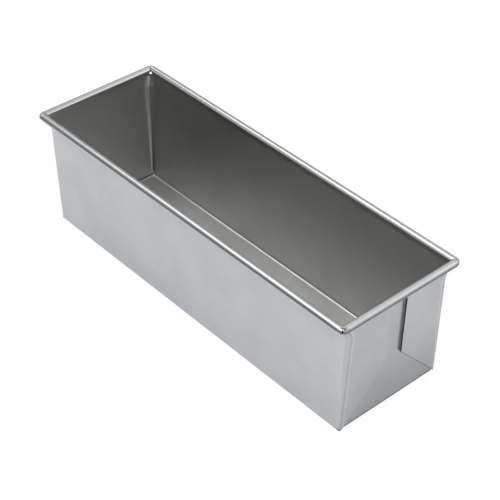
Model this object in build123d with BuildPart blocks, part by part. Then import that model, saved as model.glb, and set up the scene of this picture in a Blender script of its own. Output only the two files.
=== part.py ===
from build123d import *
import os
from math import acos, atan, cos, degrees, radians, sin, sqrt, tan

# Pullman loaf pan, folded from one steel blank, its rim curled over a bent wire.
#
# Frame: origin at the middle of the underside, +X along the pan, +Y across it, +Z up. Millimetres.
# Two pieces: pan_body, the folded sheet, and rim_wire, the rod inside its rim.
#
# The body is one blank. Each corner is pinched instead of cut: the end wall turns back on itself at a
# hairpin, comes back along its own outside as the inner gusset layer, folds over at a slanting crease
# that climbs from the base corner, and returns as the outer layer, which wraps the corner into the
# long wall. So the pan holds liquid without a seam. One quarter of the walls is drawn and mirrored.

# Overall sizes; lengths and widths are inside the sheet, those of the base at the level of the underside
height = 101.6
base_length = 318.8
base_width = 92.0
mouth_length = 325.3
mouth_width = 101.0

# Sheet, measured level through a wall, and the inside bend round the base
sheet = 0.7
base_bend = 1.5

# Rim wire and the curl round it
wire_diameter = 4.1
wire_clearance = 0.2
wire_bend = 2.3
wire_butt = 0.4
lip_clearance = 0.1
mitre_gap = 0.15
mitre_opening_angle = 13.0
bend_steps = 4
bore_flats = 6

# Folded corners
fold_gap = 0.2
corner_radius_low = 2.6
corner_radius_high = 9.3
corner_radius_rim = 5.0
flare_depth = 9.0
flare_step_depth = 3.7
hairpin_angle_low = 50.0
hairpin_angle_high = 45.0
hairpin_angle_rim = 60.0
crease_foot_inset = 0.4
crease_foot_height = 1.2
flap_parting = 15.0
knot_height = 5.2
lower_band_top = 36.0
middle_band_top = 65.0
flap_top_clearance = 0.1
root_slit = 0.15

# One overrun serves every cut, and one tolerance picks the edges that rise at a corner
overrun = 20.0
upright_tolerance = 30.0

# Leans of the walls, and of the crease, which halves what the two leans leave of the corner
end_lean = atan((mouth_length - base_length) / 2 / height)
side_lean = atan((mouth_width - base_width) / 2 / height)
crease_angle = radians(45) + (end_lean + side_lean) / 2

# Curl: bore, outer radii, and where its axes lie
bore_radius = wire_diameter / 2 + wire_clearance
end_curl_radius = bore_radius + sheet * cos(end_lean)
side_curl_radius = bore_radius + sheet * cos(side_lean)
rim_height = height - max(end_curl_radius, side_curl_radius)
flap_top = rim_height - bore_radius - flap_top_clearance
flare_height = flap_top - flare_depth
flare_step = flap_top - flare_step_depth

# Layers on an end wall, as level distances outward from its inner face
inner_layer = sheet + fold_gap
outer_layer = 2 * inner_layer
stack = outer_layer + sheet


def end_face(z):
    """Distance of the end wall's inner face from the middle, at a height."""
    return base_length / 2 + z * tan(end_lean)


def side_face(z):
    """Distance of the long wall's inner face from the middle, at a height."""
    return base_width / 2 + z * tan(side_lean)


def between(z, low, high, start, stop):
    """Value that runs evenly from start to stop between two heights."""
    return start + (stop - start) * (z - low) / (high - low)


def corner_radius(z):
    """Outer radius of the wrapped corner, a cone opening upward that draws in again under the rim."""
    if z <= flare_height:
        return between(z, 0, flare_height, corner_radius_low, corner_radius_high)
    return between(z, flare_height, flap_top, corner_radius_high, corner_radius_rim)


def hairpin_angle(z):
    """How far the layers under the wrap follow it round the corner before the hairpin."""
    if z <= flare_height:
        return between(z, knot_height, flare_height, hairpin_angle_low, hairpin_angle_high)
    return between(z, flare_height, flap_top, hairpin_angle_high, hairpin_angle_rim)


def corner_centre(z):
    """Centre of the wrapped corner's bends in the level plane at a height."""
    radius = corner_radius(z)
    return end_face(z) + stack - radius, side_face(z) + sheet - radius


end_axis = end_face(rim_height) + end_curl_radius / cos(end_lean)
side_axis = side_face(rim_height) + side_curl_radius / cos(side_lean)


# Base with its bends and the lowest band of the four walls
def trough(end_offset, side_offset, floor, top, bend, upright_bend):
    """Block between planes parallel to the inner faces, its bottom edges rounded."""
    side_reach = side_face(top) + side_offset + overrun
    end_reach = end_face(top) + end_offset + overrun
    with BuildPart() as block:
        with BuildSketch(Plane.XZ):
            with BuildLine():
                Polyline(
                    (-end_face(floor) - end_offset, floor),
                    (end_face(floor) + end_offset, floor),
                    (end_face(top) + end_offset, top),
                    (-end_face(top) - end_offset, top),
                    close=True,
                )
            make_face()
        extrude(amount=side_reach, both=True)
        with BuildSketch(Plane.YZ):
            with BuildLine():
                Polyline(
                    (-side_face(floor) - side_offset, floor),
                    (side_face(floor) + side_offset, floor),
                    (side_face(top) + side_offset, top),
                    (-side_face(top) - side_offset, top),
                    close=True,
                )
            make_face()
        extrude(amount=end_reach, both=True, mode=Mode.INTERSECT)
        if upright_bend:
            fillet(block.edges().filter_by(Axis.Z, tolerance=upright_tolerance), upright_bend)
        fillet(block.faces().sort_by(Axis.Z)[0].edges(), bend)
    return block.part


with BuildPart() as basin:
    add(trough(sheet, sheet, 0, knot_height, base_bend + sheet, base_bend + sheet))
    add(trough(0, 0, sheet, knot_height + overrun, base_bend, base_bend), mode=Mode.SUBTRACT)


# Long wall, its wrap round the corner and the outer gusset layer, as one strip seen from above
def side_section(z):
    """Level section of a quarter of the strip, from the pan's middle to the flap's free edge."""
    radius = corner_radius(z)
    centre = corner_centre(z)
    outer_x = end_face(z) + stack
    outer_y = side_face(z) + sheet
    flap_edge = flap_parting / 2
    with BuildSketch(Plane.XY.offset(z)) as section:
        with BuildLine():
            Line((0, outer_y), (centre[0], outer_y))
            CenterArc(centre, radius, 90, -90)
            Polyline(
                (outer_x, centre[1]),
                (outer_x, flap_edge),
                (outer_x - sheet, flap_edge),
                (outer_x - sheet, centre[1]),
            )
            CenterArc(centre, radius - sheet, 0, 90)
            Polyline((centre[0], outer_y - sheet), (0, outer_y - sheet), (0, outer_y))
        make_face()
    return section.sketch


# End wall, its hairpin and the inner gusset layer, bent along inside the wrap
def end_section(z):
    """Level section of a quarter of the strip, from the pan's middle round the hairpin and back."""
    angle = hairpin_angle(z)
    radius = corner_radius(z)
    centre = corner_centre(z)
    wall_x = end_face(z)
    flap_edge = flap_parting / 2
    inside = radius - stack
    middle = radius - sheet - fold_gap - sheet - fold_gap / 2
    outside = radius - sheet - fold_gap

    def polar(distance, ahead):
        """Point at the hairpin's angle, at a distance from the centre and a length past it."""
        turn = radians(angle)
        return (
            centre[0] + distance * cos(turn) - ahead * sin(turn),
            centre[1] + distance * sin(turn) + ahead * cos(turn),
        )

    with BuildSketch(Plane.XY.offset(z)) as section:
        with BuildLine():
            Line((wall_x, 0), (wall_x, centre[1]))
            CenterArc(centre, inside, 0, angle)
            ThreePointArc(polar(inside, 0), polar(middle, sheet + fold_gap / 2), polar(outside, 0))
            CenterArc(centre, outside, angle, -angle)
            Polyline(
                (wall_x + inner_layer + sheet, centre[1]),
                (wall_x + inner_layer + sheet, flap_edge),
                (wall_x + inner_layer, flap_edge),
                (wall_x + inner_layer, centre[1]),
            )
            CenterArc(centre, outside - sheet, 0, angle)
            ThreePointArc(
                polar(outside - sheet, 0), polar(middle, fold_gap / 2), polar(inside + sheet, 0)
            )
            CenterArc(centre, inside + sheet, angle, -angle)
            Polyline((wall_x + sheet, centre[1]), (wall_x + sheet, 0), (wall_x, 0))
        make_face()
    return section.sketch


# Crease: its axis lies in the gap between the two gusset layers, and its foot is at the base corner
crease_outer = (fold_gap / 2 + sheet) * cos(end_lean)
crease_inner = fold_gap / 2 * cos(end_lean)
foot_y = base_width / 2 + crease_foot_inset
foot_rise = crease_foot_height / cos(end_lean)
axis_y = foot_y + crease_outer * sin(crease_angle)
axis_rise = foot_rise + crease_outer * cos(crease_angle)


def end_plane(depth):
    """Plane parallel to the end wall, a level distance outside its inner face; its Y runs up the wall."""
    return Plane(
        origin=(end_face(0) + depth, 0, 0),
        x_dir=(0, 1, 0),
        z_dir=(cos(end_lean), 0, -sin(end_lean)),
    )


def below_line(plane, line_y, line_rise):
    """Triangle on a plane, under a line parallel to the crease through a point."""
    with BuildSketch(plane) as triangle:
        with BuildLine():
            Polyline(
                (0, 0),
                (line_y + line_rise / tan(crease_angle), 0),
                (0, line_rise + line_y * tan(crease_angle)),
                close=True,
            )
        make_face()
    return triangle.sketch


crease_plane = end_plane(inner_layer + sheet + fold_gap / 2)
crease_foot = crease_plane.from_local_coords((axis_y, axis_rise, 0))
crease_direction = Vector(
    sin(crease_angle) * sin(end_lean), -cos(crease_angle), sin(crease_angle) * cos(end_lean)
)

with BuildPart() as crease:
    with BuildSketch(Plane(origin=crease_foot, x_dir=crease_plane.z_dir, z_dir=crease_direction)):
        Circle(crease_outer)
        Circle(crease_inner, mode=Mode.SUBTRACT)
        Rectangle(
            2 * crease_outer, crease_outer, align=(Align.CENTER, Align.MIN), mode=Mode.SUBTRACT
        )
    extrude(amount=axis_y / cos(crease_angle))
    split(bisect_by=Plane.XY.offset(knot_height), keep=Keep.TOP)
    split(bisect_by=Plane.XZ.offset(-flap_parting / 2), keep=Keep.BOTTOM)


# Knot: the three layers pressed solid where wrap, hairpin and crease run together at the base
def knot_section(z):
    """Level section of the knot, from the middle of the basin's sheet out to the wrap."""
    radius = corner_radius(z)
    centre = corner_centre(z)
    start_y = foot_y - 2 * knot_height
    middle_x = end_face(z) + sheet / 2
    middle_y = side_face(z) + sheet / 2
    outer_x = end_face(z) + stack
    outer_y = side_face(z) + sheet
    round_centre = (end_face(z) - base_bend, side_face(z) - base_bend)
    tail_x = round_centre[0] - sheet
    with BuildSketch(Plane.XY.offset(z)) as section:
        with BuildLine():
            Polyline((middle_x, start_y), (outer_x, start_y), (outer_x, centre[1]))
            CenterArc(centre, radius, 0, 90)
            Polyline(
                (centre[0], outer_y), (tail_x, outer_y), (tail_x, middle_y), (round_centre[0], middle_y)
            )
            CenterArc(round_centre, base_bend + sheet / 2, 90, -90)
            Line((middle_x, round_centre[1]), (middle_x, start_y))
        make_face()
    return section.sketch


with BuildPart() as knot:
    loft([knot_section(0), knot_section(knot_height)], ruled=True)
    add(trough(stack, sheet, 0, knot_height, base_bend + sheet, 0), mode=Mode.INTERSECT)
    extrude(below_line(end_plane(0), foot_y, foot_rise), overrun, both=True, mode=Mode.SUBTRACT)


# Curl with the neck of wall under it
def curl_section(plane, face, lean, radius, axis, covered, bent):
    """Section of a rim curl; its lip closes on the outside of what covers the wall's inner face.

    Where the curl is bent, the section stops at the centre of the wire's bend, so that it can be turned
    round it, and the hidden bore has flats.
    """
    tangent = 180 - degrees(lean)
    open_angle = degrees(acos((radius - covered * cos(lean) - lip_clearance) / radius))
    lip_end = tangent + open_angle

    def on_circle(distance, angle):
        """Point round the curl's axis."""
        return (
            axis + distance * cos(radians(angle)),
            rim_height + distance * sin(radians(angle)),
        )

    with BuildSketch(plane) as section:
        with BuildLine():
            Line((face(flap_top), flap_top), on_circle(radius, tangent))
            CenterArc((axis, rim_height), radius, tangent, open_angle - 360)
            Line(on_circle(radius, lip_end), on_circle(bore_radius, lip_end))
            if bent:
                flat = (360 - open_angle) / bore_flats
                ridge_radius = bore_radius / cos(radians(flat / 2))
                Polyline(
                    on_circle(bore_radius, lip_end),
                    *[
                        on_circle(ridge_radius, lip_end + flat * (ridge + 1 / 2))
                        for ridge in range(bore_flats)
                    ],
                    on_circle(bore_radius, tangent),
                )
            else:
                CenterArc((axis, rim_height), bore_radius, lip_end, 360 - open_angle)
            Polyline(
                on_circle(bore_radius, tangent),
                (face(flap_top) + sheet, flap_top),
                (face(flap_top), flap_top),
            )
        make_face()
        if bent:
            with Locations((axis - wire_bend, rim_height)):
                Rectangle(overrun, overrun, align=(Align.MAX, Align.CENTER), mode=Mode.SUBTRACT)
    return section.sketch


def mitre_plane(toward_x):
    """Cutting plane of a mitre; it passes half a gap from the corner at the top and opens downward."""
    side = toward_x / sqrt(2)
    shift = mitre_gap / 2 * side
    return Plane(
        origin=(end_axis - shift, side_axis + shift, height),
        z_dir=(side, -side, -tan(radians(mitre_opening_angle))),
    )


bend_axis = Axis((end_axis - wire_bend, side_axis - wire_bend, 0), (0, 0, 1))


def curl(plane, reach, across, face, lean, radius, axis, covered, toward_x):
    """One side's curl: straight up to the wire's bend, then half of the bend, cut by the mitre."""
    with BuildPart() as rolled:
        extrude(curl_section(plane, face, lean, radius, axis, covered, False), reach)
        bend_plane = plane.offset(reach)
        revolve(curl_section(bend_plane, face, lean, radius, axis, covered, True), bend_axis, across)
        split(bisect_by=mitre_plane(toward_x), keep=Keep.BOTTOM)
    return rolled.part


side_reach = end_axis - wire_bend
end_reach = wire_bend - side_axis
side_curl = curl(
    Plane.YZ, side_reach, -45, side_face, side_lean, side_curl_radius, side_axis, sheet, 1
)
end_curl = curl(Plane.XZ, end_reach, 45, end_face, end_lean, end_curl_radius, end_axis, stack, -1)


# One quarter of the walls, then the whole body
wall_levels = (
    knot_height,
    lower_band_top,
    middle_band_top,
    flare_height,
    flare_step,
    flap_top,
)
slit_corner = corner_centre(flap_top)

with BuildPart() as quarter:
    loft([side_section(z) for z in wall_levels], ruled=True)
    loft([end_section(z) for z in wall_levels], ruled=True)
    extrude(
        below_line(end_plane(sheet + fold_gap / 2), axis_y, axis_rise), stack, mode=Mode.SUBTRACT
    )
    with Locations((slit_corner[0], slit_corner[1], flap_top)):
        Box(
            overrun,
            overrun,
            root_slit,
            align=(Align.MIN, Align.MIN, Align.MAX),
            mode=Mode.SUBTRACT,
        )
    add(crease.part)
    add(knot.part)
    add(side_curl)
    add(end_curl)

with BuildPart() as pan_body:
    add(quarter.part)
    mirror(about=Plane.XZ)
    mirror(about=Plane.YZ)
    add(basin.part)
pan_body.part.label = "pan_body"


# Wire, bent to a rectangle, its ends butted in the middle of a long side
def wire_corner(quarter_turns, side_x, side_y):
    """Route round one corner, in a few straight steps that touch the bend, because the curl hides it."""
    step = 90 / bend_steps
    knee_radius = wire_bend / cos(radians(step / 2))
    centre_x = side_x * (end_axis - wire_bend)
    centre_y = side_y * (side_axis - wire_bend)
    angles = [90 - 90 * quarter_turns - step * (knee + 1 / 2) for knee in range(bend_steps)]
    return [
        (centre_x + knee_radius * cos(radians(angle)), centre_y + knee_radius * sin(radians(angle)))
        for angle in angles
    ]


with BuildPart() as rim_wire:
    with BuildLine(Plane.XY.offset(rim_height)) as wire_route:
        Polyline(
            (wire_butt / 2, side_axis),
            *wire_corner(0, 1, 1),
            *wire_corner(1, 1, -1),
            *wire_corner(2, -1, -1),
            *wire_corner(3, -1, 1),
            (-wire_butt / 2, side_axis),
        )
    with BuildSketch(Plane(origin=wire_route.line @ 0, z_dir=wire_route.line % 0)):
        Circle(wire_diameter / 2)
    sweep(transition=Transition.RIGHT)
rim_wire.part.label = "rim_wire"

os.makedirs("parts", exist_ok=True)
export_step(pan_body.part, "parts/pan_body.step")
export_step(rim_wire.part, "parts/rim_wire.step")
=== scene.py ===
"""Looks of the pullman loaf pan: the folded sheet, its rim wire and the studio round them."""

import logging
import math
from dataclasses import dataclass
from enum import Enum

import bpy
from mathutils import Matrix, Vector

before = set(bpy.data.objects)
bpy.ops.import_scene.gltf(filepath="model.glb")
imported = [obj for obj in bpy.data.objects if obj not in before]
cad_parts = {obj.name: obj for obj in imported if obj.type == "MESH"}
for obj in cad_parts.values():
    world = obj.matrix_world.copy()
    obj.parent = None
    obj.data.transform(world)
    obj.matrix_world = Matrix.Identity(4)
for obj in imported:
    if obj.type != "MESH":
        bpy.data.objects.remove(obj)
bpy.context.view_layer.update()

log = logging.getLogger("loaf_pan")

Triple = tuple[float, float, float]
Colour = Triple
Span = tuple[float, float]
Socket = bpy.types.NodeSocket
Value = Socket | float | Triple

VECTOR = "NodeSocketVector"
NUMBER = "NodeSocketFloat"

# Where a Mix node keeps its share and its two values, as numbers and as colours.
NUMBER_INPUTS = (0, 2, 3)
NUMBER_OUTPUT = 0
COLOUR_INPUTS = (0, 6, 7)
COLOUR_OUTPUT = 2

NOISE_MIDDLE = 0.5


class Drawing(Enum):
    """Which way the mill drew the metal out, as the axis that its grain follows."""

    ALONG = (1.0, 0.0, 0.0)
    ACROSS = (0.0, 1.0, 0.0)
    UPRIGHT = (0.0, 0.0, 1.0)

    def stretch(self, length: float) -> Triple:
        """Give the scale that draws noise out to this many times its width."""
        return tuple(1.0 / length if part else 1.0 for part in self.value)


class RayKind(Enum):
    """The kinds of ray that see the floor glow, which the others see plain."""

    CAMERA = "Is Camera Ray"
    GLOSSY = "Is Glossy Ray"
    TRANSMISSION = "Is Transmission Ray"


@dataclass(frozen=True)
class Noise:
    """How finely broken and how rough a noise is."""

    detail: float = 2.0
    roughness: float = 0.5


@dataclass(frozen=True)
class ScuffPattern:
    """Scuffs that lie several ways, each way with its turn in radians and its shift."""

    ways: tuple[Span, ...] = ((0.5, 0.0), (1.4, 3.7), (2.5, 7.1))
    tilt: float = 0.7
    narrowing: float = 0.03
    noise: Noise = Noise(detail=1.0)
    shown: Span = (0.68, 0.80)
    patch_fineness: float = 22.0
    patch_shown: Span = (0.42, 0.62)


@dataclass(frozen=True)
class BendLine:
    """A painted line of highlight or shade by the wrapped corner's bend, this far past the bend's
    start.
    """

    shift: float
    shade: float
    width: float = 0.0010
    unevenness: float = 0.0014


@dataclass(frozen=True)
class SheetFinish:
    """Aluminised sheet steel: dull satin, a faint rolling grain and soft clouds in its coat.

    The shades are shares of the coat's own colour that are left where shade is painted, and the
    shines are such shares above one, where highlights are painted.
    """

    name: str = "aluminised_sheet"
    light: Colour = (0.556, 0.557, 0.562)
    dark: Colour = (0.488, 0.489, 0.494)
    # A warmer painted tint for the inside, standing in for the warmer light there.
    inside_light: Colour = (0.566, 0.560, 0.543)
    inside_dark: Colour = (0.510, 0.504, 0.488)
    # Painted black shade for cut edges, the roll's bore and the folds' level ends.
    painted_shade_black: Colour = (0.030, 0.030, 0.030)
    burnished: Colour = (0.490, 0.490, 0.490)
    roughness: float = 0.37
    roughness_swing: float = 0.05
    roughness_tones: Span = (0.2, 0.8)
    burnished_roughness: float = 0.28
    grain_fineness: float = 1500.0
    grain_length: float = 30.0
    grain_share: float = 0.6
    cloud_size: float = 0.035
    cloud_share: float = 0.4
    bump_height: float = 0.00002
    foot_shade: float = 0.91
    end_shade: float = 0.95
    bare_end_shade: float = 0.95
    inside_shade: float = 0.94
    inside_foot_shade: float = 0.84
    floor_bend_highlight: float = 1.22
    end_roll_highlight: float = 1.16
    roll_shade: float = 0.24
    fold_shade: float = 0.40
    bottom_shade: float = 0.42
    bend_lines: tuple[BendLine, ...] = (
        BendLine(shift=0.0002, shade=1.20),
        BendLine(shift=0.0020, shade=0.82),
    )
    scuff_amount: float = 0.10
    scuff_fineness: float = 700.0


@dataclass(frozen=True)
class WireFinish:
    """Bare drawn wire, coloured near black, with drawing lines that all run across the pan."""

    name: str = "bare_wire"
    light: Colour = (0.030, 0.029, 0.028)
    dark: Colour = (0.012, 0.012, 0.012)
    roughness: float = 0.65
    grain_fineness: float = 900.0
    grain_length: float = 20.0
    bump_height: float = 0.00001


@dataclass(frozen=True)
class PanShape:
    """Sizes of the folded sheet in metres, where its finish changes from place to place.

    The driving sizes repeat those of the part's source, and the others are worked out from them.
    """

    height: float = 0.1016
    base_length: float = 0.3188
    base_width: float = 0.0920
    mouth_length: float = 0.3253
    mouth_width: float = 0.1010
    sheet: float = 0.0007
    fold_gap: float = 0.0002
    wire_diameter: float = 0.0041
    wire_clearance: float = 0.0002
    roll_bend: float = 0.0023
    bend_low: float = 0.0026
    bend_high: float = 0.0093
    bend_rim: float = 0.0050
    flare_depth: float = 0.0090
    flap_parting: float = 0.0150
    flap_clearance: float = 0.0001
    crease_foot_height: float = 0.0012

    @property
    def end_foot(self) -> float:
        """Distance of the end wall's inner face from the middle, level with the underside."""
        return self.base_length / 2

    @property
    def side_foot(self) -> float:
        """Distance of the long wall's inner face from the middle, level with the underside."""
        return self.base_width / 2

    @property
    def end_slope(self) -> float:
        """How far the end wall leans out for its height."""
        return (self.mouth_length - self.base_length) / 2 / self.height

    @property
    def side_slope(self) -> float:
        """How far the long wall leans out for its height."""
        return (self.mouth_width - self.base_width) / 2 / self.height

    @property
    def stack(self) -> float:
        """Thickness of the end wall and its two flap layers together."""
        return self.sheet + 2 * (self.sheet + self.fold_gap)

    @property
    def bore_radius(self) -> float:
        """Radius of the bore in the roll, which the wire lies in."""
        return self.wire_diameter / 2 + self.wire_clearance

    @property
    def roll_radius(self) -> float:
        """Outer radius of the roll."""
        return self.bore_radius + self.sheet

    @property
    def roll_level(self) -> float:
        """Level of the roll's axis."""
        return self.height - self.roll_radius

    @property
    def end_axis(self) -> float:
        """Distance of the end roll's axis from the middle."""
        return self.end_foot + self.end_slope * self.roll_level + self.roll_radius

    @property
    def side_axis(self) -> float:
        """Distance of the long roll's axis from the middle."""
        return self.side_foot + self.side_slope * self.roll_level + self.roll_radius

    @property
    def flap_top(self) -> float:
        """Level of the flaps' upper ends, just under the wire's bore."""
        return self.roll_level - self.bore_radius - self.flap_clearance

    @property
    def flap_edge(self) -> float:
        """Distance of a flap's upright edge from the middle."""
        return self.flap_parting / 2

    @property
    def flare_foot(self) -> float:
        """Level where the corner's bend starts to draw in under the rim."""
        return self.flap_top - self.flare_depth

    @property
    def crease_foot(self) -> float:
        """Level of the slanting crease's axis at its foot."""
        leans = math.atan(self.end_slope) + math.atan(self.side_slope)
        rise = math.cos(math.radians(45.0) + leans / 2)
        return self.crease_foot_height + (self.sheet + self.fold_gap / 2) * rise


@dataclass(frozen=True)
class PlaceLimits:
    """Where each place on the sheet starts and ends.

    The reaches are heights and depths in metres. The facings are parts of the outward normal, and
    a facing band is its middle and its half width.
    """

    wall_facing: float = 0.7
    outward_facing: float = 0.2
    upright_facing: float = 0.5
    level_facing: float = 0.9
    under_facing: float = -0.30
    mitre_facing: float = 1.2
    floor_bend_facing: Span = (0.62, 0.34)
    end_roll_facing: Span = (-0.02, 0.60)
    side_roll_facing: Span = (0.36, 0.48)
    foot_reach: Span = (0.002, 0.055)
    inside_foot_reach: Span = (0.004, 0.060)
    bottom_reach: Span = (0.0021, 0.0034)
    roll_foot_reach: Span = (-0.0001, 0.0005)
    bore_start: float = 0.000035
    bore_margin: float = 0.00035
    cut_edge_depth: float = 0.00119


class NodeTree:
    """A node tree with short calls for adding and joining nodes."""

    def __init__(self, tree: bpy.types.NodeTree) -> None:
        """Wrap a tree."""
        self.tree = tree

    def clear(self) -> None:
        """Take every node out."""
        self.tree.nodes.clear()

    def add(self, kind: str, **settings: object) -> bpy.types.Node:
        """Add a node and set its properties.

        Args:
            kind: The node's type, such as ShaderNodeMath.
            settings: Property values by name.

        Returns:
            The new node.
        """
        node = self.tree.nodes.new(kind)
        for key, value in settings.items():
            setattr(node, key, value)
        return node

    def join(self, source: Socket, target: Socket) -> None:
        """Link one socket to another."""
        self.tree.links.new(source, target)

    def feed(self, target: Socket, value: Value) -> None:
        """Link a socket to a target, or set the target's own value.

        Args:
            target: The input to fill.
            value: A socket, or a plain value.
        """
        if isinstance(value, Socket):
            self.join(value, target)
        else:
            target.default_value = value

    def math(self, operation: str, *inputs: Value, clamp: bool = False) -> Socket:
        """Add a math node.

        Args:
            operation: The node's operation.
            inputs: Sockets or plain numbers.
            clamp: Whether the result is held between zero and one.

        Returns:
            The result's socket.
        """
        node = self.add("ShaderNodeMath", operation=operation, use_clamp=clamp)
        for index, value in enumerate(inputs):
            self.feed(node.inputs[index], value)
        return node.outputs[0]

    def span(
        self, value: Value, low: float, high: float, out_low: Value = 0.0, out_high: Value = 1.0
    ) -> Socket:
        """Map a range smoothly on to another, held at both ends.

        Args:
            value: The socket to read.
            low: Where the range starts.
            high: Where it ends.
            out_low: The result at the start.
            out_high: The result at the end.

        Returns:
            The result's socket.
        """
        node = self.add("ShaderNodeMapRange", interpolation_type="SMOOTHSTEP")
        for index, item in enumerate((value, low, high, out_low, out_high)):
            self.feed(node.inputs[index], item)
        return node.outputs[0]

    def band(self, value: Value, middle: float, half: float) -> Socket:
        """Pick out a band of values, soft at both edges.

        Args:
            value: The socket to read.
            middle: The band's middle.
            half: How far from the middle the band has faded out.

        Returns:
            A socket that is one in the middle and nought outside the band.
        """
        away = self.math("ABSOLUTE", self.math("SUBTRACT", value, middle))
        return self.span(away, 0.0, half, 1.0, 0.0)

    def both(self, *masks: Value) -> Socket:
        """Multiply masks together.

        Args:
            masks: Sockets or plain numbers, at least two.

        Returns:
            The product's socket.
        """
        result = masks[0]
        for mask in masks[1:]:
            result = self.math("MULTIPLY", result, mask)
        return result

    def shade(self, mask: Value, shade: float) -> Socket:
        """Turn a mask into a share that runs from one to a shade.

        Args:
            mask: Where the shade applies.
            shade: The share that is left there.

        Returns:
            The share's socket.
        """
        return self.math("MULTIPLY_ADD", mask, shade - 1.0, 1.0)

    def blend(self, share: Value, first: Value, second: Value) -> Socket:
        """Mix two colours.

        Args:
            share: How much of the second colour shows.
            first: A colour or a socket.
            second: A colour or a socket.

        Returns:
            The mixed colour's socket.
        """
        node = self.add("ShaderNodeMix", data_type="RGBA")
        for index, value in zip(COLOUR_INPUTS, (share, first, second)):
            self.feed(node.inputs[index], (*value, 1.0) if isinstance(value, tuple) else value)
        return node.outputs[COLOUR_OUTPUT]

    def mix(self, share: Value, first: Value, second: Value) -> Socket:
        """Mix two numbers.

        Args:
            share: How much of the second number shows.
            first: A number or a socket.
            second: A number or a socket.

        Returns:
            The mixed number's socket.
        """
        node = self.add("ShaderNodeMix", data_type="FLOAT")
        for index, value in zip(NUMBER_INPUTS, (share, first, second)):
            self.feed(node.inputs[index], value)
        return node.outputs[NUMBER_OUTPUT]


class EffectGroups:
    """The effects that the finishes share, each a node group built once."""

    grain_noise: Noise = Noise(detail=3.0, roughness=0.6)
    cloud_noise: Noise = Noise(detail=4.0, roughness=0.55)
    cloud_shown: Span = (0.3, 0.7)
    scuff_pattern: ScuffPattern = ScuffPattern()
    line_fineness: float = 160.0

    def __init__(self) -> None:
        """Build every group."""
        self.grain = self._grain()
        self.clouds = self._clouds()
        self.scuffs = self._scuffs()
        self.line = self._line()

    @staticmethod
    def _start(
        name: str, inputs: dict[str, str], output: str
    ) -> tuple[bpy.types.NodeTree, NodeTree, bpy.types.NodeOutputs, Socket]:
        """Make an empty group with named sockets.

        Args:
            name: The group's name.
            inputs: Socket types by input name.
            output: The name of the number that comes out.

        Returns:
            The group, its wrapped tree, its inputs as they are read inside and its result.
        """
        group = bpy.data.node_groups.new(name, "ShaderNodeTree")
        for socket, kind in inputs.items():
            group.interface.new_socket(name=socket, in_out="INPUT", socket_type=kind)
        group.interface.new_socket(name=output, in_out="OUTPUT", socket_type=NUMBER)
        tree = NodeTree(group)
        given = tree.add("NodeGroupInput").outputs
        return group, tree, given, tree.add("NodeGroupOutput").inputs[output]

    @staticmethod
    def _noise(tree: NodeTree, place: Socket, fineness: Value, noise: Noise) -> Socket:
        """Add a noise.

        Args:
            tree: The group's tree.
            place: Where the noise is read.
            fineness: Its scale.
            noise: Its detail and roughness.

        Returns:
            The noise's value.
        """
        node = tree.add("ShaderNodeTexNoise")
        tree.join(place, node.inputs["Vector"])
        tree.feed(node.inputs["Scale"], fineness)
        node.inputs["Detail"].default_value = noise.detail
        node.inputs["Roughness"].default_value = noise.roughness
        return node.outputs["Fac"]

    def _grain(self) -> bpy.types.NodeTree:
        """Build drawn grain: fine noise drawn out along one direction.

        Returns:
            The group, with Position, Stretch and Fineness going in and Grain coming out.
        """
        group, tree, given, result = self._start(
            "drawn_grain", {"Position": VECTOR, "Stretch": VECTOR, "Fineness": NUMBER}, "Grain"
        )
        drawn = tree.add("ShaderNodeVectorMath", operation="MULTIPLY")
        tree.join(given["Position"], drawn.inputs[0])
        tree.join(given["Stretch"], drawn.inputs[1])
        tree.join(
            self._noise(tree, drawn.outputs[0], given["Fineness"], self.grain_noise), result
        )
        return group

    def _clouds(self) -> bpy.types.NodeTree:
        """Build the soft clouds that a dipped coat leaves.

        Returns:
            The group, with Position and Size going in and Clouds coming out.
        """
        group, tree, given, result = self._start(
            "coat_clouds", {"Position": VECTOR, "Size": NUMBER}, "Clouds"
        )
        fineness = tree.math("DIVIDE", 1.0, given["Size"])
        cloud = self._noise(tree, given["Position"], fineness, self.cloud_noise)
        tree.join(tree.span(cloud, *self.cloud_shown), result)
        return group

    def _scuffs(self) -> bpy.types.NodeTree:
        """Build fine scuffs: short scratches that lie several ways and come and go.

        Returns:
            The group, with Position, Fineness and Amount going in and Scuffs coming out.
        """
        group, tree, given, result = self._start(
            "fine_scuffs", {"Position": VECTOR, "Fineness": NUMBER, "Amount": NUMBER}, "Scuffs"
        )
        pattern = self.scuff_pattern
        total: Value = 0.0
        for turn, shift in pattern.ways:
            turned = tree.add("ShaderNodeMapping")
            turned.inputs["Location"].default_value = (shift, shift, shift)
            turned.inputs["Rotation"].default_value = (turn, turn * pattern.tilt, turn)
            turned.inputs["Scale"].default_value = (1.0, pattern.narrowing, 1.0)
            tree.join(given["Position"], turned.inputs["Vector"])
            fine = self._noise(tree, turned.outputs[0], given["Fineness"], pattern.noise)
            total = tree.math("MAXIMUM", total, tree.span(fine, *pattern.shown))
        patchy = self._noise(tree, given["Position"], pattern.patch_fineness, Noise())
        shown = tree.both(total, tree.span(patchy, *pattern.patch_shown), given["Amount"])
        tree.join(shown, result)
        return group

    def _line(self) -> bpy.types.NodeTree:
        """Build a soft line, such as a painted highlight or shade along a bend: one where a
        distance is nought.

        Returns:
            The group, with Distance, Width, Position and Unevenness going in and Line coming out.
        """
        group, tree, given, result = self._start(
            "soft_line",
            {"Distance": NUMBER, "Width": NUMBER, "Position": VECTOR, "Unevenness": NUMBER},
            "Line",
        )
        rough = self._noise(tree, given["Position"], self.line_fineness, Noise())
        stray = tree.math("SUBTRACT", rough, NOISE_MIDDLE)
        stray = tree.math("MULTIPLY", stray, given["Unevenness"])
        away = tree.math("ABSOLUTE", tree.math("ADD", given["Distance"], stray))
        share = tree.math("DIVIDE", away, given["Width"], clamp=True)
        tree.join(tree.span(share, 0.0, 1.0, 1.0, 0.0), result)
        return group


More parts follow.
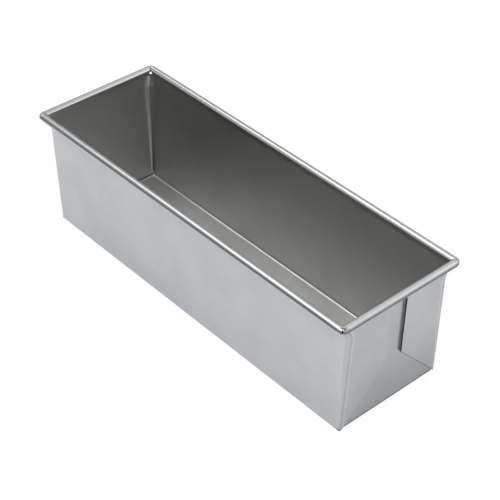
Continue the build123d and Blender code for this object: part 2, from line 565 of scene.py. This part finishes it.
class SheetPlaces:
    """Masks of the places on the folded sheet, from where a point lies and which way it faces."""

    def __init__(
        self, tree: NodeTree, shape: PanShape, limits: PlaceLimits, place: Socket
    ) -> None:
        """Read the point and its facing, both as seen from the nearest corner's quarter.

        Args:
            tree: The material's tree.
            shape: The sheet's sizes.
            limits: Where each place starts and ends.
            place: The object position's socket.
        """
        self.tree = tree
        self.shape = shape
        self.limits = limits
        point = tree.add("ShaderNodeSeparateXYZ")
        tree.join(place, point.inputs[0])
        facing = tree.add("ShaderNodeSeparateXYZ")
        tree.join(tree.add("ShaderNodeNewGeometry").outputs["Normal"], facing.inputs[0])
        self.along = tree.math("ABSOLUTE", point.outputs["X"])
        self.across = tree.math("ABSOLUTE", point.outputs["Y"])
        self.level = point.outputs["Z"]
        self.face_along = tree.both(facing.outputs["X"], tree.math("SIGN", point.outputs["X"]))
        self.face_across = tree.both(facing.outputs["Y"], tree.math("SIGN", point.outputs["Y"]))
        self.face_up = facing.outputs["Z"]

    def _less(self, value: Value, limit: float) -> Socket:
        """Pick out values under a limit."""
        return self.tree.math("LESS_THAN", value, limit)

    def _more(self, value: Value, limit: float) -> Socket:
        """Pick out values over a limit."""
        return self.tree.math("GREATER_THAN", value, limit)

    def _least(self, first: Value, second: Value) -> Socket:
        """Take the smaller of two values."""
        return self.tree.math("MINIMUM", first, second)

    def _most(self, first: Value, second: Value) -> Socket:
        """Take the larger of two values, or either of two masks."""
        return self.tree.math("MAXIMUM", first, second)

    def _size(self, value: Value) -> Socket:
        """Take a value without its sign."""
        return self.tree.math("ABSOLUTE", value)

    def _past(self, value: Value, start: Value) -> Socket:
        """Measure how far a value lies past a start."""
        return self.tree.math("SUBTRACT", value, start)

    def _length(self, first: Value, second: Value) -> Socket:
        """Work out the length of a vector from its two parts."""
        squares = self.tree.both(first, first), self.tree.both(second, second)
        return self.tree.math("SQRT", self.tree.math("ADD", *squares))

    def _lean(self, foot: float, slope: float) -> Socket:
        """Work out a value that grows evenly with the level."""
        return self.tree.math("MULTIPLY_ADD", self.level, slope, foot)

    def _fade_up(self, reach: Span) -> Socket:
        """Fade from one under the reach to nought over it."""
        return self.tree.span(self.level, *reach, 1.0, 0.0)

    def end_depth(self) -> Socket:
        """Measure how far outside the end wall's inner face a point lies."""
        return self._past(self.along, self._lean(self.shape.end_foot, self.shape.end_slope))

    def side_depth(self) -> Socket:
        """Measure how far outside the long wall's inner face a point lies."""
        return self._past(self.across, self._lean(self.shape.side_foot, self.shape.side_slope))

    def on_end(self) -> Socket:
        """Pick out what faces along the pan."""
        return self._more(self._size(self.face_along), self.limits.wall_facing)

    def outside(self) -> Socket:
        """Pick out the outsides of the walls and of the base.

        Returns:
            The mask's socket.
        """
        half = self.shape.sheet / 2
        deep = self._more(self._most(self.end_depth(), self.side_depth()), half)
        facing = self._most(self.face_along, self.face_across)
        return self._most(deep, self._more(facing, self.limits.outward_facing))

    def within(self) -> Socket:
        """Pick out everything inside the pan, its floor included."""
        return self._past(1.0, self.outside())

    def outside_end(self) -> Socket:
        """Pick out the outside of an end wall, its flaps included."""
        facing = self._more(self.face_along, self.limits.wall_facing)
        return self.tree.both(facing, self._more(self.end_depth(), self.shape.sheet / 2))

    def bare_end(self) -> Socket:
        """Pick out the end wall's own sheet where no flap covers it."""
        uncovered = self._less(self.end_depth(), self.shape.stack / 2)
        return self.tree.both(self.outside_end(), uncovered)

    def foot(self) -> Socket:
        """Fade from the foot of the outside walls upward."""
        return self.tree.both(self.outside(), self._fade_up(self.limits.foot_reach))

    def inside(self) -> Socket:
        """Pick out the inner faces of the walls."""
        wall = self._less(self._size(self.face_up), self.limits.upright_facing)
        return self.tree.both(self.within(), wall)

    def inside_foot(self) -> Socket:
        """Fade from the foot of the inside walls upward."""
        return self.tree.both(self.inside(), self._fade_up(self.limits.inside_foot_reach))

    def floor_bend(self) -> Socket:
        """Pick out the bend between the floor and the walls, where a highlight is painted."""
        bend = self.tree.band(self.face_up, *self.limits.floor_bend_facing)
        return self.tree.both(self.within(), bend)

    def roll(self) -> Socket:
        """Pick out the rolled rim."""
        foot = self.shape.roll_level - self.shape.roll_radius
        return self.tree.span(self.level, *(foot + edge for edge in self.limits.roll_foot_reach))

    def end_roll(self) -> Socket:
        """Pick out the roll over the end walls, where a highlight is painted."""
        start = self.shape.end_axis - self.shape.roll_radius - self.shape.sheet
        return self.tree.both(self.roll(), self._more(self.along, start))

    def roll_side(self) -> Socket:
        """Pick out the roll's outward side, level with its wire, where shade is painted for the
        dark reflection it shows.

        Returns:
            The mask's socket.
        """
        tree, shape = self.tree, self.shape
        end = tree.both(
            self._more(self.along, shape.end_axis),
            tree.band(self.face_up, *self.limits.end_roll_facing),
        )
        side = tree.both(
            self._more(self.across, shape.side_axis),
            tree.band(self.face_up, *self.limits.side_roll_facing),
        )
        return tree.both(self.roll(), self._most(end, side))

    def bore(self) -> Socket:
        """Pick out the inside of the roll at its open corners, round the bent wire.

        Returns:
            The mask's socket.
        """
        shape = self.shape
        centre_along = self._past(self.along, shape.end_axis - shape.roll_bend)
        centre_across = self._past(self.across, shape.side_axis - shape.roll_bend)
        reach = self._length(self._most(centre_along, 0.0), self._most(centre_across, 0.0))
        away = self._length(
            self._past(reach, shape.roll_bend), self._past(self.level, shape.roll_level)
        )
        return self.tree.both(
            self._more(reach, self.limits.bore_start),
            self._less(away, shape.bore_radius + self.limits.bore_margin),
        )

    def mitre(self) -> Socket:
        """Pick out the cut ends of the roll, which face along the rim.

        Returns:
            The mask's socket.
        """
        facing = self._size(self._past(self.face_along, self.face_across))
        cut = self._more(facing, self.limits.mitre_facing)
        return self.tree.both(cut, self._more(self.level, self.shape.flap_top))

    def flap_edge(self) -> Socket:
        """Pick out the upright edges of the flaps, in the slit between them."""
        return self.tree.both(
            self._more(self._size(self.face_across), self.limits.wall_facing),
            self._less(self.across, self.shape.flap_edge + self.shape.sheet),
            self._more(self.end_depth(), self.limits.cut_edge_depth),
        )

    def flap_top(self) -> Socket:
        """Pick out the level ends of the folds, under the roll."""
        facing = self._more(self.face_up, self.limits.level_facing)
        return self.tree.both(
            facing, self.tree.band(self.level, self.shape.flap_top, self.shape.sheet)
        )

    def hidden(self) -> Socket:
        """Pick out cut edges, the inside of the roll and the level ends of the folds, where black
        shade is painted.
        """
        cuts = self._most(self.mitre(), self._most(self.flap_edge(), self.flap_top()))
        return self._most(self.bore(), cuts)

    def fold_under(self) -> Socket:
        """Pick out the underside of the slanting folds."""
        return self.tree.both(
            self._less(self.face_up, self.limits.under_facing),
            self._more(self.end_depth(), self.shape.sheet),
            self._more(self.level, self.shape.crease_foot),
            self._less(self.level, self.shape.flap_top / 2),
        )

    def bottom_edge(self) -> Socket:
        """Pick out the bend under an end wall."""
        under_end = self._more(self.along, self.shape.end_foot - self.shape.sheet)
        return self.tree.both(self._fade_up(self.limits.bottom_reach), under_end)

    def bend_start(self) -> Socket:
        """Measure how far past the start of the wrapped corner's bend a point of an end lies.

        Returns:
            The distance's socket, in metres.
        """
        shape = self.shape
        rise = (shape.bend_high - shape.bend_low) / shape.flare_foot
        fall = (shape.bend_high - shape.bend_rim) / (shape.flap_top - shape.flare_foot)
        flared = self._lean(shape.bend_high + fall * shape.flare_foot, -fall)
        radius = self._least(self._lean(shape.bend_low, rise), flared)
        corner = self._lean(shape.side_foot + shape.sheet, shape.side_slope)
        return self._past(self.across, self._past(corner, radius))


class Dresser:
    """Makes the materials of the metal pieces."""

    def __init__(self, groups: EffectGroups) -> None:
        """Keep the shared groups."""
        self.groups = groups

    @staticmethod
    def _place(tree: NodeTree, group: bpy.types.NodeTree, **inputs: Value) -> Socket:
        """Place a group in a material.

        Args:
            tree: The material's tree.
            group: The group.
            inputs: Values or sockets by input name.

        Returns:
            What comes out of the group.
        """
        node = tree.add("ShaderNodeGroup", node_tree=group)
        for name, value in inputs.items():
            tree.feed(node.inputs[name], value)
        return node.outputs[0]

    @staticmethod
    def _relief(tree: NodeTree, shader: bpy.types.Node, height: Socket, distance: float) -> None:
        """Give a material a fine relief.

        Args:
            tree: The material's tree.
            shader: The Principled BSDF.
            height: The relief's height, from nought to one.
            distance: The height of one, in metres.
        """
        bump = tree.add("ShaderNodeBump")
        bump.inputs["Distance"].default_value = distance
        tree.join(height, bump.inputs["Height"])
        tree.join(bump.outputs[0], shader.inputs["Normal"])

    @staticmethod
    def _start(name: str) -> tuple[bpy.types.Material, NodeTree, bpy.types.Node, Socket]:
        """Make a metal material with nothing joined yet.

        Args:
            name: The material's name.

        Returns:
            The material, its wrapped tree, its Principled BSDF and the object position's socket.
        """
        material = bpy.data.materials.new(name)
        material.use_nodes = True
        tree = NodeTree(material.node_tree)
        shader = material.node_tree.nodes["Principled BSDF"]
        shader.inputs["Metallic"].default_value = 1.0
        place = tree.add("ShaderNodeTexCoord")
        return material, tree, shader, place.outputs["Object"]

    def _grain(
        self, tree: NodeTree, finish: SheetFinish | WireFinish, place: Socket, way: Drawing
    ) -> Socket:
        """Place the drawn grain of a finish.

        Args:
            tree: The material's tree.
            finish: The finish.
            place: The object position's socket.
            way: Which way the metal was drawn.

        Returns:
            The grain's socket.
        """
        stretch = way.stretch(finish.grain_length)
        fineness = finish.grain_fineness
        return self._place(
            tree, self.groups.grain, Position=place, Stretch=stretch, Fineness=fineness
        )

    def _colour(
        self, tree: NodeTree, finish: SheetFinish, places: SheetPlaces, tone: Socket
    ) -> Socket:
        """Make the sheet's own colour outside and on the burnished roll, and a warmer painted tint
        inside for the warmer light there.

        Args:
            tree: The material's tree.
            finish: The sheet's finish.
            places: The places on the sheet.
            tone: How light the coat is.

        Returns:
            The colour's socket.
        """
        outer = tree.blend(tone, finish.dark, finish.light)
        inner = tree.blend(tone, finish.inside_dark, finish.inside_light)
        colour = tree.blend(places.within(), outer, inner)
        return tree.blend(places.roll(), colour, finish.burnished)

    def _painted_light(
        self, tree: NodeTree, finish: SheetFinish, places: SheetPlaces, place: Socket
    ) -> Socket:
        """Work out the share of its own colour that the painted shade and painted highlights leave
        the sheet.

        Args:
            tree: The material's tree.
            finish: The sheet's finish.
            places: The places on the sheet.
            place: The object position's socket.

        Returns:
            The share's socket.
        """
        # Painted shade and painted highlights: each mask darkens or lightens the coat's colour
        # where shade or light falls.
        painted = [
            (places.foot(), finish.foot_shade),
            (places.inside(), finish.inside_shade),
            (places.inside_foot(), finish.inside_foot_shade),
            (places.floor_bend(), finish.floor_bend_highlight),
            (places.outside_end(), finish.end_shade),
            (places.bare_end(), finish.bare_end_shade),
            (places.end_roll(), finish.end_roll_highlight),
            (places.roll_side(), finish.roll_shade),
            (places.fold_under(), finish.fold_shade),
            (places.bottom_edge(), finish.bottom_shade),
        ]
        # Lines of painted highlight and painted shade along the wrapped corner's bend.
        bend = places.bend_start()
        for mark in finish.bend_lines:
            line = self._place(
                tree,
                self.groups.line,
                Distance=tree.math("SUBTRACT", bend, mark.shift),
                Width=mark.width,
                Position=place,
                Unevenness=mark.unevenness,
            )
            painted.append((tree.both(line, places.outside()), mark.shade))
        return tree.both(*(tree.shade(mask, shade) for mask, shade in painted))

    def sheet(
        self, finish: SheetFinish, shape: PanShape, limits: PlaceLimits
    ) -> bpy.types.Material:
        """Make the sheet's material.

        Args:
            finish: The sheet's finish.
            shape: The sheet's sizes, which say where its finish changes.
            limits: Where each place on the sheet starts and ends.

        Returns:
            The material.
        """
        material, tree, shader, place = self._start(finish.name)
        places = SheetPlaces(tree, shape, limits, place)
        along = self._grain(tree, finish, place, Drawing.ALONG)
        upright = self._grain(tree, finish, place, Drawing.UPRIGHT)
        grain = tree.mix(places.on_end(), along, upright)
        clouds = self._place(tree, self.groups.clouds, Position=place, Size=finish.cloud_size)
        tone = tree.math(
            "MULTIPLY_ADD", grain, finish.grain_share, tree.both(clouds, finish.cloud_share)
        )

        dimmed = tree.add("ShaderNodeVectorMath", operation="SCALE")
        tree.join(self._colour(tree, finish, places, tone), dimmed.inputs[0])
        tree.join(self._painted_light(tree, finish, places, place), dimmed.inputs["Scale"])
        # Cut edges, the roll's bore and the folds' level ends get painted black shade.
        colour = tree.blend(places.hidden(), dimmed.outputs[0], finish.painted_shade_black)
        tree.join(colour, shader.inputs["Base Color"])

        dull = finish.roughness + finish.roughness_swing
        bright = finish.roughness - finish.roughness_swing
        coat = tree.span(tone, *finish.roughness_tones, dull, bright)
        rough = tree.mix(places.roll(), coat, finish.burnished_roughness)
        scuffs = self._place(
            tree,
            self.groups.scuffs,
            Position=place,
            Fineness=finish.scuff_fineness,
            Amount=finish.scuff_amount,
        )
        tree.join(tree.math("ADD", rough, scuffs), shader.inputs["Roughness"])
        self._relief(tree, shader, grain, finish.bump_height)
        return material

    def wire(self, finish: WireFinish) -> bpy.types.Material:
        """Make the wire's material.

        Args:
            finish: The wire's finish.

        Returns:
            The material.
        """
        material, tree, shader, place = self._start(finish.name)
        grain = self._grain(tree, finish, place, Drawing.ACROSS)
        tree.join(tree.blend(grain, finish.dark, finish.light), shader.inputs["Base Color"])
        shader.inputs["Roughness"].default_value = finish.roughness
        self._relief(tree, shader, grain, finish.bump_height)
        return material


@dataclass
class PanBody:
    """The folded sheet: base, walls, gussets and rolled rim."""

    dresser: Dresser
    node: str = "pan_body"
    finish: SheetFinish = SheetFinish()
    shape: PanShape = PanShape()
    limits: PlaceLimits = PlaceLimits()

    def build(self) -> bpy.types.Object:
        """Dress the sheet's node.

        Returns:
            The dressed object.
        """
        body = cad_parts[self.node]
        body.data.materials.clear()
        body.data.materials.append(self.dresser.sheet(self.finish, self.shape, self.limits))
        return body


@dataclass
class RimWire:
    """The wire inside the rolled rim."""

    dresser: Dresser
    node: str = "rim_wire"
    finish: WireFinish = WireFinish()

    def build(self) -> bpy.types.Object:
        """Dress the wire's node.

        Returns:
            The dressed object.
        """
        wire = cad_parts[self.node]
        wire.data.materials.clear()
        wire.data.materials.append(self.dresser.wire(self.finish))
        return wire


@dataclass(frozen=True)
class SoftBox:
    """One oblong lamp with an evenly bright face, which points at the pan.

    Its azimuth is counted from the pan's +X axis, and its brightness is that of its face, where a
    white wall in plain light has one.
    """

    name: str
    azimuth: float
    brightness: float
    elevation: float = 57.0
    width: float = 0.86
    depth: float = 0.86
    distance: float = 2.0
    tint: Colour = (0.965, 0.980, 1.0)

    def build(self) -> bpy.types.Object:
        """Hang the lamp.

        Returns:
            The lamp's object.
        """
        data = bpy.data.lights.new(self.name, "AREA")
        data.shape = "RECTANGLE"
        data.size = self.width
        data.size_y = self.depth
        data.energy = self.brightness * math.pi * self.width * self.depth
        data.color = self.tint
        lamp = bpy.data.objects.new(self.name, data)
        bpy.context.scene.collection.objects.link(lamp)
        turn, rise = math.radians(self.azimuth), math.radians(self.elevation)
        outward = Vector(
            (math.cos(turn) * math.cos(rise), math.sin(turn) * math.cos(rise), math.sin(rise))
        )
        lamp.location = outward * self.distance
        lamp.rotation_euler = outward.to_track_quat("Z", "Y").to_euler()
        return lamp


@dataclass
class Studio:
    """The floor, the soft lamps, the pale room and the camera.

    The camera was fitted to the pan's straight edges in the photo. The brightnesses of the lamps,
    The brightnesses of the lamps, all but the back one, and of the room and the mirrored floor
    were fitted to its tones, then rounded or moved a little.
    """

    floor_half: float = 4.0
    floor_own: float = 0.80
    floor_shown: Colour = (0.165, 0.165, 0.175)
    floor_glow: float = 0.875
    floor_mirrored_glow: float = 0.14
    horizon: float = 0.76
    walls: float = 0.52
    overhead: float = 0.02
    horizon_top: Span = (0.20, 0.46)
    walls_top: Span = (0.63, 0.79)
    air_tint: Colour = (0.960, 0.978, 1.0)
    camera_place: Triple = (0.64284, -0.54992, 0.70725)
    camera_turn: Triple = (51.6671, -0.0230, 48.7574)
    camera_lens: float = 104.17
    camera_sensor: float = 36.0
    camera_clip: float = 0.01
    lamps: tuple[SoftBox, ...] = (
        SoftBox("left_box", azimuth=180.0, brightness=2.7),
        SoftBox("left_front_box", azimuth=225.0, brightness=2.8),
        SoftBox("front_box", azimuth=270.0, brightness=3.8),
        SoftBox("right_front_box", azimuth=315.0, brightness=3.9),
        SoftBox("right_front_low_box", azimuth=315.0, brightness=1.45, elevation=32.0, width=1.36),
        SoftBox("back_right_box", azimuth=45.0, brightness=1.0, elevation=32.0, width=1.36),
        SoftBox("back_box", azimuth=90.0, brightness=1.0, width=2.40),
    )

    @staticmethod
    def _ray(tree: NodeTree, kind: RayKind) -> Socket:
        """Find one kind of ray.

        Args:
            tree: The material's or the world's tree.
            kind: The kind of ray.

        Returns:
            A socket that is one for such a ray and nought for others.
        """
        return tree.add("ShaderNodeLightPath").outputs[kind.value]

    @staticmethod
    def _lit_and_glowing(tree: NodeTree, colour: Colour, glow: float) -> Socket:
        """Add a surface that the lamps light, so it takes shadows, and that glows a little itself.

        Args:
            tree: The material's tree.
            colour: The colour that the lamps light.
            glow: The strength of the glow.

        Returns:
            The surface's shader socket.
        """
        lit = tree.add("ShaderNodeBsdfDiffuse")
        lit.inputs["Color"].default_value = (*colour, 1.0)
        glowing = tree.add("ShaderNodeEmission")
        glowing.inputs["Strength"].default_value = glow
        both = tree.add("ShaderNodeAddShader")
        tree.join(lit.outputs[0], both.inputs[0])
        tree.join(glowing.outputs[0], both.inputs[1])
        return both.outputs[0]

    def floor(self) -> bpy.types.Object:
        """Lay the pale floor, which shows white and keeps the pan's shadow.

        Returns:
            The floor's object.
        """
        half = self.floor_half
        mesh = bpy.data.meshes.new("floor")
        corners = [(-half, -half, 0.0), (half, -half, 0.0), (half, half, 0.0), (-half, half, 0.0)]
        mesh.from_pydata(corners, [], [(0, 1, 2, 3)])
        floor = bpy.data.objects.new("floor", mesh)
        bpy.context.scene.collection.objects.link(floor)
        material = bpy.data.materials.new("pale_floor")
        material.use_nodes = True
        tree = NodeTree(material.node_tree)
        tree.clear()
        grey = (self.floor_own,) * 3
        surface = self._lit_and_glowing(tree, grey, 0.0)
        shown = self._lit_and_glowing(tree, self.floor_shown, self.floor_glow)
        mirrored = self._lit_and_glowing(tree, grey, self.floor_mirrored_glow)
        for kind, seen in (
            (RayKind.CAMERA, shown),
            (RayKind.TRANSMISSION, shown),
            (RayKind.GLOSSY, mirrored),
        ):
            choice = tree.add("ShaderNodeMixShader")
            tree.join(self._ray(tree, kind), choice.inputs[0])
            tree.join(surface, choice.inputs[1])
            tree.join(seen, choice.inputs[2])
            surface = choice.outputs[0]
        tree.join(surface, tree.add("ShaderNodeOutputMaterial").inputs[0])
        mesh.materials.append(material)
        return floor

    def room(self) -> bpy.types.World:
        """Light the room: pale at the horizon, greyer up the walls, dark overhead.

        Returns:
            The world.
        """
        world = bpy.data.worlds.new("pale_room")
        bpy.context.scene.world = world
        world.use_nodes = True
        tree = NodeTree(world.node_tree)
        tree.clear()
        place = tree.add("ShaderNodeTexCoord")
        parts = tree.add("ShaderNodeSeparateXYZ")
        tree.join(place.outputs["Generated"], parts.inputs[0])
        height = parts.outputs["Z"]
        low = tree.span(height, *self.horizon_top, self.horizon, self.walls)
        level = tree.span(height, *self.walls_top, low, self.overhead)
        air = tree.add("ShaderNodeBackground")
        air.inputs["Color"].default_value = (*self.air_tint, 1.0)
        tree.join(level, air.inputs["Strength"])
        tree.join(air.outputs[0], tree.add("ShaderNodeOutputWorld").inputs[0])
        return world

    def camera(self) -> bpy.types.Object:
        """Set up the camera at the photo's angle.

        Returns:
            The camera's object.
        """
        data = bpy.data.cameras.new("camera")
        data.lens = self.camera_lens
        data.sensor_width = self.camera_sensor
        data.clip_start = self.camera_clip
        camera = bpy.data.objects.new("camera", data)
        bpy.context.scene.collection.objects.link(camera)
        camera.location = self.camera_place
        camera.rotation_euler = [math.radians(turn) for turn in self.camera_turn]
        bpy.context.scene.camera = camera
        return camera

    def build(self) -> None:
        """Build the whole studio."""
        bpy.context.scene.view_settings.view_transform = "Standard"
        self.floor()
        self.room()
        for lamp in self.lamps:
            lamp.build()
        self.camera()


def main() -> None:
    """Build the pan and the studio in order."""
    logging.basicConfig(level=logging.INFO, format="%(name)s: %(message)s")
    dresser = Dresser(EffectGroups())
    for part in (PanBody(dresser), RimWire(dresser)):
        dressed = part.build()
        log.info("dressed %s, %d faces", dressed.name, len(dressed.data.polygons))
    Studio().build()
    log.info("studio ready")


if __name__ == "__main__":
    main()
